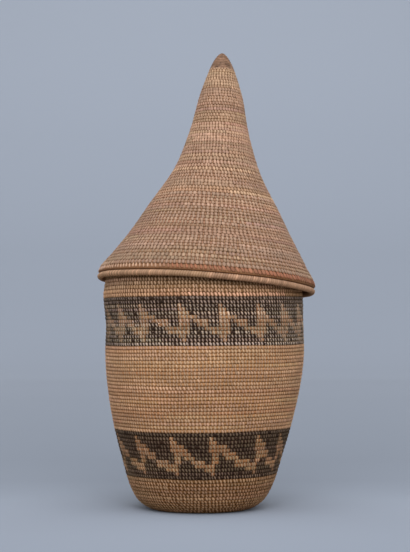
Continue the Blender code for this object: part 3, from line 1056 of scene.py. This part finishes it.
class BASKET_OT_foot(BasketOperator, Operator):
    """Sew the rows that turn up from the base"""

    bl_idname = "basket.foot"
    bl_label = "Foot"

    def execute(self, context):
        colours = context.scene.basket_colours
        stretch = body_stretch(context, 1)
        # Painted shade on the foot, which faces down
        strip = np.asarray(colours.natural) * FOOT_STRIP_SHADE
        grass = np.asarray(colours.grass) * FOOT_SHADE
        sewn(context, "foot", "foot_wall", stretch, strip, grass, FOOT_LOOK, **STRANDS)
        return {"FINISHED"}


class BASKET_OT_lower_band(BasketOperator, Operator):
    """Sew the lower zigzag band"""

    bl_idname = "basket.lower_band"
    bl_label = "Lower Band"

    def execute(self, context):
        stretch = body_stretch(context, 2, stitches=sum(LOWER_ZIGZAG))
        mask = zigzag(stretch, LOWER_ZIGZAG_START, LOWER_ZIGZAG, LOWER_MOTIF)
        band(context, "lower_band", "lower_zigzag_band", stretch, mask, LOWER_BEADS, LOWER_BAND_DARKENING)
        return {"FINISHED"}


class BASKET_OT_belly(BasketOperator, Operator):
    """Sew the plain belly between the bands"""

    bl_idname = "basket.belly"
    bl_label = "Belly"

    def execute(self, context):
        colours = context.scene.basket_colours
        stretch = body_stretch(context, 3)
        sewn(context, "belly", "belly_wall", stretch, colours.natural, colours.grass, PLAIN, **STRANDS)
        return {"FINISHED"}


class BASKET_OT_upper_band(BasketOperator, Operator):
    """Sew the upper zigzag band"""

    bl_idname = "basket.upper_band"
    bl_label = "Upper Band"

    def execute(self, context):
        stretch = body_stretch(context, 4, stitches=sum(UPPER_ZIGZAG))
        mask = zigzag(stretch, UPPER_ZIGZAG_START, UPPER_ZIGZAG, UPPER_MOTIF)
        # The band is darker round a turn on its left
        away = (np.mod(stretch.middles, 1.0) - DARK_TURN) / DARK_SPREAD
        worn = 1 - UPPER_BAND_LEFT_DARKENING * np.exp(-(away**2))
        band(context, "upper_band", "upper_zigzag_band", stretch, mask, UPPER_BEADS, worn[:, None])
        return {"FINISHED"}


class BASKET_OT_neck(BasketOperator, Operator):
    """Sew the plain neck that the lid goes over"""

    bl_idname = "basket.neck"
    bl_label = "Neck"

    def execute(self, context):
        colours = context.scene.basket_colours
        stretch = body_stretch(context, 5)
        # Painted shade under the lid's rim: rows above the lowest are duller, and the grass darker, most in
        # the top rows
        lifted = (stretch.row < NECK_LOW_ROWS)[:, None]
        strip = np.asarray(colours.natural) * np.where(lifted, NECK_LOW_TINT, NECK_RIM_SHADE)
        shows = (stretch.row < NECK_ROWS - NECK_HIDDEN_ROWS)[:, None]
        grass = np.asarray(colours.grass) * np.where(shows, NECK_SHADE, NECK_HIDDEN_SHADE)
        sewn(context, "neck", "neck_wall", stretch, strip, grass, OPEN, **STRANDS)
        return {"FINISHED"}


def cord_colours(settings, colour, wraps, seed):
    """A colour for each wrap of a cord."""
    rng = np.random.default_rng([settings.seed, seed])
    return np.asarray(colour) * tints(rng, strands(rng, wraps, WRAP_RUN), **CORD_STRANDS)


class BASKET_OT_mouth_cord(BasketOperator, Operator):
    """Wrap the cord round the mouth"""

    bl_idname = "basket.mouth_cord"
    bl_label = "Mouth Cord"

    def execute(self, context):
        settings = context.scene.basket_coil
        wall = body_wall()
        radius = settings.thickness / 2
        length = wall.length_at(MOUTH[1]) + radius
        colours = cord_colours(settings, context.scene.basket_colours.natural, MOUTH_WRAPS, MOUTH_SEED)
        wrapped_cord("mouth_cord_wraps", "mouth_cord", wall, length, radius, MOUTH_WRAP_LEAN, colours,
                     settings)
        return {"FINISHED"}


class BASKET_OT_lid_rim(BasketOperator, Operator):
    """Wrap the thick cord round the lid's edge"""

    bl_idname = "basket.lid_rim"
    bl_label = "Lid Rim"

    def execute(self, context):
        settings = context.scene.basket_coil
        radius = HEM[1]
        colours = cord_colours(settings, context.scene.basket_colours.rim, RIM_WRAPS, RIM_SEED)
        wrap = np.arange(RIM_WRAPS)
        beaded = np.exp(-(((wrap / RIM_WRAPS - RIM_BEADED_TURN) / RIM_BEADED_SPREAD) ** 2))
        colours = colours * (1 + beaded * (RIM_BEADED_LIGHT + RIM_BEADS * (-1.0) ** wrap))[:, None]
        wrapped_cord("lid_rim_wraps", "lid_rim_cord", lid_wall(), -radius, radius, RIM_WRAP_LEAN, colours,
                     settings)
        return {"FINISHED"}


class BASKET_OT_lid_border(BasketOperator, Operator):
    """Sew the thick row above the rim, russet round its right side"""

    bl_idname = "basket.lid_border"
    bl_label = "Lid Border"

    def execute(self, context):
        colours = context.scene.basket_colours
        wall = lid_wall()
        turns = np.array([0.0, 1.0])
        lower, upper = (turns, np.zeros(2)), (turns, lid_lines(wall)[0][1][:2])
        stretch = Stretch(wall, 1, lower, BORDER_SPACING, upper_line=upper)
        start, end = RUSSET_TURNS
        russet = np.clip((stretch.middles - start) / RUSSET_FADE, 0.0, 1.0)
        russet = russet * np.clip((end - stretch.middles) / RUSSET_FADE, 0.0, 1.0)
        look = {**BORDER, "width": BORDER_WIDTH + RUSSET_WIDER * russet}
        russet = russet[:, None]
        strip = (1 - russet) * np.asarray(colours.border) + russet * np.asarray(colours.russet)
        sewn(context, "lid_border", "lid_border_row", stretch, strip, colours.border_grass, look,
             **BORDER_STRANDS)
        return {"FINISHED"}


class BASKET_OT_lid_skirt(BasketOperator, Operator):
    """Sew the lid's wide rosy rows"""

    bl_idname = "basket.lid_skirt"
    bl_label = "Lid Skirt"

    def execute(self, context):
        colours = context.scene.basket_colours
        stretch = lid_stretch(0, SKIRT_SPACING, SKIRT_STITCH_STEP)
        sewn(context, "lid_skirt", "lid_skirt", stretch, colours.rosy, colours.lid_grass, CLOSE, **STRANDS)
        return {"FINISHED"}


class BASKET_OT_lid_shoulder(BasketOperator, Operator):
    """Sew the rows where the lid's cone curves into its spire"""

    bl_idname = "basket.lid_shoulder"
    bl_label = "Lid Shoulder"

    def execute(self, context):
        colours = context.scene.basket_colours
        stretch = lid_stretch(1, SHOULDER_SPACING, LID_STITCH_STEP)
        sewn(context, "lid_shoulder", "lid_shoulder", stretch, colours.pale, colours.lid_grass, CLOSE,
             **STRANDS)
        return {"FINISHED"}


class BASKET_OT_lid_spire(BasketOperator, Operator):
    """Sew the fine rows of the spire"""

    bl_idname = "basket.lid_spire"
    bl_label = "Lid Spire"

    def execute(self, context):
        colours = context.scene.basket_colours
        stretch = lid_stretch(2, SPIRE_SPACING, LID_STITCH_STEP)
        lifted = np.where(stretch.row < SPIRE_ROWS - SPIRE_TOP_ROWS, 1.0, SPIRE_TOP_BRIGHTNESS)[:, None]
        strip = np.asarray(colours.pale) * lifted
        sewn(context, "lid_spire", "lid_spire", stretch, strip, colours.lid_grass, FINE, **STRANDS,
             inside=False)
        return {"FINISHED"}


class BASKET_OT_lid_tip(BasketOperator, Operator):
    """Wrap the lid's brown tip"""

    bl_idname = "basket.lid_tip"
    bl_label = "Lid Tip"

    def execute(self, context):
        """A dome whose radius is a power of its depth, cut by a helical groove where two wraps meet."""
        settings = context.scene.basket_coil
        opened = np.linspace(0.0, 1.0, TIP_RINGS)[:, None]
        depth = opened ** (1 / TIP_POWER)
        angle = 2 * np.pi * np.arange(TIP_POINTS)[None, :] / TIP_POINTS
        phase = np.mod(depth * TIP_WRAPS + angle / (2 * np.pi), 1.0)
        crest = 1 - np.abs(2 * phase - 1) ** 2
        radius = TIP_BASE[0] * opened
        radius = radius - settings.strip * TIP_CUT * (1 - crest) * np.clip(radius / TIP_CUT_RADIUS, 0.0, 1.0)
        level = TIP_BASE[1] + TIP_HEIGHT * (1 - depth) + 0 * angle
        points = lid_wall().seated(radius * np.cos(angle), radius * np.sin(angle), level)
        along, about = ring_corners(TIP_RINGS - 1, TIP_POINTS)
        foot = disc_faces(TIP_POINTS)[:, ::-1] + (TIP_RINGS - 1) * TIP_POINTS
        faces = np.vstack([along * TIP_POINTS + about % TIP_POINTS, foot])
        colours = context.scene.basket_colours
        frayed = (depth > TIP_BROWN + waves(TIP_FRAYS, angle, 0.0))[..., None]
        tint = np.where(frayed, np.asarray(colours.pale) * TIP_FRAYED_SHADE, colours.tip)
        # Painted shade in the grooves between the wraps
        tint = tint * (TIP_GROOVE_SHADE + (1 - TIP_GROOVE_SHADE) * crest)[..., None] ** SHADED + 0 * points
        corners = points.reshape(-1, 3)[faces.ravel()]
        fibre_map = np.column_stack([corners[:, 2], corners[:, 0] + corners[:, 1]])
        new_piece("lid_tip_wraps", "lid_tip", points, faces, {"strip_uv": fibre_map}, tint, replaces=True)
        return {"FINISHED"}


def lamp(name, place, power, colour):
    """A square lamp that faces the basket."""
    data = bpy.data.lights.new(name, "AREA")
    data.size = LAMP_SIZE
    data.energy = power
    data.color = colour
    thing = bpy.data.objects.new(name, data)
    thing.location = place
    thing.rotation_euler = (Vector(LAMP_TARGET) - Vector(place)).to_track_quat("-Z", "Y").to_euler()
    bpy.context.scene.collection.objects.link(thing)


def look_and_light(nodes, links, thrown):
    """A node whose colour is thrown as light, while the camera sees what its second input holds."""
    ray = nodes.new("ShaderNodeLightPath")
    choice = nodes.new("ShaderNodeMix")
    choice.data_type = "RGBA"
    links.new(ray.outputs["Is Camera Ray"], choice.inputs["Factor"])
    set_inputs(choice, A=(*thrown, 1.0))
    return choice


def paper_material(colour):
    """Matt studio paper, with light and shade painted along its run, that throws little light back at the
    basket.
    """
    material = bpy.data.materials.new("studio_paper")
    material.use_nodes = True
    nodes, links = material.node_tree.nodes, material.node_tree.links
    shader = nodes["Principled BSDF"]
    set_inputs(shader, Roughness=0.9, Specular_IOR_Level=0.1)
    place = nodes.new("ShaderNodeTexCoord")
    apart = nodes.new("ShaderNodeSeparateXYZ")
    links.new(place.outputs["Object"], apart.inputs["Vector"])
    run = nodes.new("ShaderNodeMath")
    run.operation = "ADD"
    links.new(apart.outputs["Y"], run.inputs[0])
    links.new(apart.outputs["Z"], run.inputs[1])
    start, end = PAPER_SHADES[0][0], PAPER_SHADES[-1][0]
    ramp = nodes.new("ShaderNodeValToRGB")
    ramp.color_ramp.interpolation = "LINEAR"
    stops = ramp.color_ramp.elements
    while len(stops) < len(PAPER_SHADES):
        stops.new(0.5)
    for stop, (distance, share) in zip(stops, PAPER_SHADES):
        stop.position = (distance - start) / (end - start)
        stop.color = (*[share * c for c in colour], 1.0)
    links.new(mapped(nodes, links, run.outputs[0], start, end, 0.0, 1.0), ramp.inputs["Fac"])
    choice = look_and_light(nodes, links, PAPER_BOUNCE)
    links.new(ramp.outputs["Color"], choice.inputs["B"])
    links.new(choice.outputs["Result"], shader.inputs["Base Color"])
    return material


def studio_air(colour, strength):
    """A world that throws warm white light from all round and looks like the far end of the paper."""
    world = bpy.data.worlds.new("studio_air")
    world.use_nodes = True
    nodes, links = world.node_tree.nodes, world.node_tree.links
    choice = look_and_light(nodes, links, SKY_LIGHT)
    set_inputs(choice, B=(*[FAR_PAPER * c * light for c, light in zip(colour, SKY_LIGHT)], 1.0))
    links.new(choice.outputs["Result"], nodes["Background"].inputs["Color"])
    set_inputs(nodes["Background"], Strength=strength)
    return world


class BASKET_OT_studio(BasketOperator, Operator):
    """Set up the seamless paper, the lamps and the camera"""

    bl_idname = "basket.studio"
    bl_label = "Studio"

    def execute(self, context):
        scene = context.scene
        scene.view_settings.view_transform = "Standard"
        self.paper(scene)
        for name, (place, setting, colour) in LAMPS.items():
            lamp(name, place, getattr(scene.basket_studio, setting), colour)
        scene.world = studio_air(scene.basket_colours.backdrop, scene.basket_studio.sky)
        self.camera(scene)
        return {"FINISHED"}

    def paper(self, scene):
        """The floor and backdrop: a profile that runs back, bends up and rises, carried across the studio."""
        turn = np.linspace(0.0, np.pi / 2, BEND_POINTS)
        deep = PAPER_BACK + PAPER_BEND * np.sin(turn)
        high = PAPER_BEND - PAPER_BEND * np.cos(turn)
        curve = np.column_stack([deep, high])
        profile = np.vstack([(PAPER_FRONT, 0.0), curve, (PAPER_BACK + PAPER_BEND, PAPER_TOP)])
        count = len(profile)
        left = np.column_stack([np.full(count, -PAPER_HALF), profile])
        right = np.column_stack([np.full(count, PAPER_HALF), profile])
        k = np.arange(count - 1)
        faces = np.column_stack([k, count + k, count + k + 1, k + 1])
        mesh = bpy.data.meshes.new("studio_sweep")
        mesh.from_pydata(np.vstack([left, right]).tolist(), [], faces.tolist())
        mesh.shade_smooth()
        mesh.materials.append(paper_material(scene.basket_colours.backdrop))
        thing = bpy.data.objects.new("studio_sweep", mesh)
        thing.location.z = -FLOOR_GAP
        scene.collection.objects.link(thing)

    def camera(self, scene):
        """A level camera at the photograph's height and distance, shifted to frame the basket as it does."""
        data = bpy.data.cameras.new("camera")
        data.lens = FOCAL_PIXELS * SENSOR / PHOTO_HEIGHT
        data.sensor_width = SENSOR
        data.shift_x = AXIS_LEFT_OF_MIDDLE / PHOTO_HEIGHT
        data.shift_y = HORIZON_BELOW_MIDDLE / PHOTO_HEIGHT
        thing = bpy.data.objects.new("camera", data)
        thing.location = (0.0, -CAMERA_DISTANCE, CAMERA_HEIGHT)
        thing.rotation_euler = (math.pi / 2, 0.0, 0.0)
        scene.collection.objects.link(thing)
        scene.camera = thing


PIECE_OPERATORS = (
    BASKET_OT_base,
    BASKET_OT_foot,
    BASKET_OT_lower_band,
    BASKET_OT_belly,
    BASKET_OT_upper_band,
    BASKET_OT_neck,
    BASKET_OT_mouth_cord,
    BASKET_OT_lid_rim,
    BASKET_OT_lid_border,
    BASKET_OT_lid_skirt,
    BASKET_OT_lid_shoulder,
    BASKET_OT_lid_spire,
    BASKET_OT_lid_tip,
    BASKET_OT_studio,
)


class BASKET_PT_panel(Panel):
    """Lists the basket's settings and the operators that make its pieces"""

    bl_idname = "BASKET_PT_panel"
    bl_label = "Coiled Basket"
    bl_space_type = "VIEW_3D"
    bl_region_type = "UI"
    bl_category = "Basket"

    def draw(self, context):
        layout = self.layout
        scene = context.scene
        for settings in (scene.basket_coil, scene.basket_colours, scene.basket_studio):
            box = layout.box()
            for name in settings.__annotations__:
                box.prop(settings, name)
        for operator in PIECE_OPERATORS:
            layout.operator(operator.bl_idname)


CLASSES = (BasketCoil, BasketColours, BasketStudio) + PIECE_OPERATORS + (BASKET_PT_panel,)


def register():
    for cls in CLASSES:
        bpy.utils.register_class(cls)
    bpy.types.Scene.basket_coil = PointerProperty(type=BasketCoil)
    bpy.types.Scene.basket_colours = PointerProperty(type=BasketColours)
    bpy.types.Scene.basket_studio = PointerProperty(type=BasketStudio)


def unregister():
    del bpy.types.Scene.basket_coil
    del bpy.types.Scene.basket_colours
    del bpy.types.Scene.basket_studio
    for cls in reversed(CLASSES):
        bpy.utils.unregister_class(cls)


def main():
    register()
    for operator in PIECE_OPERATORS:
        group, name = operator.bl_idname.split(".")
        getattr(getattr(bpy.ops, group), name)()


if __name__ == "__main__":
    main()
